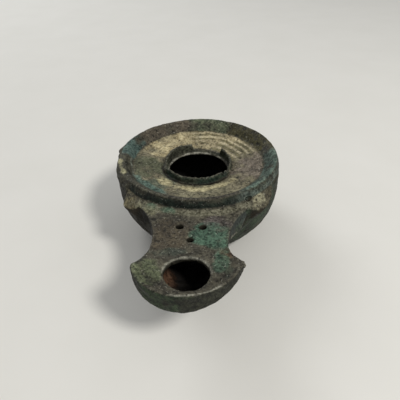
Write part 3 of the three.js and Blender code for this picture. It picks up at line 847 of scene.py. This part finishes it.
class Nodes:
    """A short way to write a node tree."""

    def __init__(self, material):
        """Starts from the material's own shader, with places in the object's metres."""
        material.use_nodes = True
        self.tree = material.node_tree
        self.shader = self.tree.nodes["Principled BSDF"]
        self.place = self.new("ShaderNodeTexCoord").outputs["Object"]

    def new(self, kind, **values):
        """A node with some of its settings."""
        node = self.tree.nodes.new(kind)
        for name, value in values.items():
            setattr(node, name, value)
        return node

    def put(self, socket, value):
        """Links a socket to another, or gives it a plain value."""
        if isinstance(value, bpy.types.NodeSocket):
            self.tree.links.new(value, socket)
        else:
            socket.default_value = value

    def layer(self, name):
        """A number that the mesh carries at each vertex."""
        return self.new("ShaderNodeAttribute", attribute_name=name).outputs["Fac"]

    def colour(self, name):
        """A colour that the mesh carries at each vertex."""
        return self.new("ShaderNodeAttribute", attribute_name=name).outputs["Color"]

    def noise(self, size_mm, detail=4, rough=0.55, warp=0):
        """Noise with features of a size in millimetres."""
        node = self.new("ShaderNodeTexNoise")
        self.put(node.inputs["Vector"], self.place)
        node.inputs["Scale"].default_value = 1000 / size_mm
        node.inputs["Detail"].default_value = detail
        node.inputs["Roughness"].default_value = rough
        node.inputs["Distortion"].default_value = warp
        return node.outputs["Fac"]

    def grey(self, value):
        """A grey from one number."""
        node = self.new("ShaderNodeCombineColor")
        for socket in node.inputs:
            self.put(socket, value)
        return node.outputs["Color"]

    def math(self, kind, a, b):
        """One operation on two numbers."""
        node = self.new("ShaderNodeMath", operation=kind)
        self.put(node.inputs[0], a)
        self.put(node.inputs[1], b)
        return node.outputs[0]

    def ramp(self, value, low, high, out_low=0.0, out_high=1.0):
        """A smooth rise from out_low to out_high as the value goes from low to high."""
        node = self.new("ShaderNodeMapRange", interpolation_type="SMOOTHSTEP")
        self.put(node.inputs["Value"], value)
        self.put(node.inputs["From Min"], low)
        self.put(node.inputs["From Max"], high)
        self.put(node.inputs["To Min"], out_low)
        self.put(node.inputs["To Max"], out_high)
        return node.outputs["Result"]

    def blend(self, share, a, b, kind="MIX"):
        """Two colours blended by a share of the second."""
        node = self.new("ShaderNodeMix", data_type="RGBA", blend_type=kind, clamp_factor=True)
        self.put(node.inputs[0], share)
        self.put(node.inputs[6], a)
        self.put(node.inputs[7], b)
        return node.outputs[2]


def patina():
    """Aged bronze: the painted tones mottled together, dark in creases (partly dirt, partly painted shade)
    and pits, worn light on edges.
    """
    material = bpy.data.materials.new("aged_bronze")
    n = Nodes(material)
    soot, worn_tone, speck_tone = srgb(18, 17, 11), srgb(140, 138, 120), srgb(214, 212, 196)
    broad, mid, fine, grain = n.noise(8, 4), n.noise(2.4, 5, 0.62), n.noise(0.95, 4, 0.65), n.noise(0.35, 2)
    mottle = n.math("ADD", n.math("MULTIPLY", n.ramp(mid, 0.38, 0.62), 0.5),
                    n.math("MULTIPLY", n.ramp(fine, 0.4, 0.6), 0.5))
    colour = n.blend(mottle, n.colour("dark_tone"), n.colour("light_tone"))
    shade = n.ramp(broad, 0.35, 0.65, 0.72, 1.08)
    colour = n.blend(1.0, colour, n.grey(shade), "MULTIPLY")
    stains = n.math("MULTIPLY", n.ramp(n.noise(1.1, 3, 0.6, 0.5), 0.56, 0.65), 0.75)
    colour = n.blend(stains, colour, soot)
    # Creases darkened: partly dirt, partly painted shade.
    colour = n.blend(n.math("MULTIPLY", n.layer("crease"), 0.9), colour, srgb(17, 16, 10))
    colour = n.blend(n.math("MULTIPLY", n.layer("pits"), 0.8), colour, soot)
    worn = n.math("MULTIPLY", n.math("MULTIPLY", n.layer("edge"), n.ramp(fine, 0.4, 0.6)), 0.6)
    colour = n.blend(worn, colour, worn_tone)
    specks = n.math("MULTIPLY", n.ramp(n.noise(0.9, 3, 0.7, 0.6), 0.61, 0.67), n.layer("specked"))
    speck = n.blend(0.35, n.colour("light_tone"), speck_tone)
    colour = n.blend(n.math("MULTIPLY", specks, 0.6), colour, speck)
    n.put(n.shader.inputs["Base Color"], colour)
    n.put(n.shader.inputs["Roughness"], n.ramp(mid, 0.3, 0.7, 0.5, 0.85))
    n.shader.inputs["Metallic"].default_value = 0.0
    n.shader.inputs["Specular IOR Level"].default_value = 0.2
    small = n.math("ADD", n.math("MULTIPLY", fine, 0.35), n.math("MULTIPLY", grain, 0.15))
    height = n.math("ADD", n.math("MULTIPLY", mid, 0.5), small)
    relief_node = n.new("ShaderNodeBump")
    relief_node.inputs["Strength"].default_value = 0.8
    relief_node.inputs["Distance"].default_value = 0.0009
    n.put(relief_node.inputs["Height"], height)
    n.put(n.shader.inputs["Normal"], relief_node.outputs["Normal"])
    return material


lamp.data.materials.clear()
lamp.data.materials.append(patina())
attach(lamp, "root")
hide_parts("lamp")


# ---- Floor, light and camera ----

def floor_material():
    """Pale and dull, with a slight cloudiness."""
    material = bpy.data.materials.new("floor")
    n = Nodes(material)
    n.put(n.shader.inputs["Base Color"], n.blend(n.noise(40, 3), srgb(219, 217, 210), srgb(226, 224, 218)))
    n.shader.inputs["Roughness"].default_value = 0.9
    return material


bpy.ops.mesh.primitive_plane_add(size=6)
floor = bpy.context.object
floor.name = "floor"
floor.data.materials.append(floor_material())


LIGHT_AIM = (0, -0.015, 0.02)


def area_light(name, place, size, power, colour):
    """A round lamp that shines at the middle of the part."""
    data = bpy.data.lights.new(name, "AREA")
    data.shape = "DISK"
    data.size = size
    data.energy = power
    data.color = colour
    light = bpy.data.objects.new(name, data)
    light.location = place
    light.rotation_euler = (Vector(LIGHT_AIM) - Vector(place)).to_track_quat("-Z", "Y").to_euler()
    bpy.context.scene.collection.objects.link(light)


area_light("key", (0.44, -0.42, 0.71), 0.18, 4.9, (1, 0.985, 0.955))
area_light("window", (-0.5, 0.6, 0.62), 0.5, 2.8, (0.96, 0.98, 1))

world = bpy.data.worlds.new("studio")
world.use_nodes = True
world.node_tree.nodes["Background"].inputs["Color"].default_value = (0.93, 0.94, 0.95, 1)
world.node_tree.nodes["Background"].inputs["Strength"].default_value = 0.42
bpy.context.scene.world = world

# The camera stands before the nozzle and looks down at the lamp. AZIMUTH, ELEVATION and DISTANCE give
# its place as seen from the middle of the rim; PITCH, YAW and ROLL turn it.
AZIMUTH, ELEVATION, DISTANCE = math.radians(3.9), math.radians(29.98), 0.18955
PITCH, YAW, ROLL = math.radians(36.27), math.radians(-0.14), math.radians(-1.36)
SENSOR, LENS = 36, 38.7
eye = Vector((DISTANCE * math.sin(AZIMUTH) * math.cos(ELEVATION),
              -DISTANCE * math.cos(AZIMUTH) * math.cos(ELEVATION),
              DISTANCE * math.sin(ELEVATION) + CREST * MM))
turn = AZIMUTH + YAW
view = Vector((-math.sin(turn) * math.cos(PITCH), math.cos(turn) * math.cos(PITCH), -math.sin(PITCH)))
right = view.cross(Vector((0, 0, 1))).normalized()
above = right.cross(view)
across = right * math.cos(ROLL) + above * math.sin(ROLL)
upward = above * math.cos(ROLL) - right * math.sin(ROLL)
camera_data = bpy.data.cameras.new("camera")
camera_data.sensor_width = SENSOR
camera_data.lens = LENS
camera_data.clip_start = 0.005
camera = bpy.data.objects.new("camera", camera_data)
camera.matrix_world = Matrix((across, upward, -view)).transposed().to_4x4()
camera.matrix_world.translation = eye
bpy.context.scene.collection.objects.link(camera)
bpy.context.scene.camera = camera

bpy.context.scene.view_settings.view_transform = "Standard"
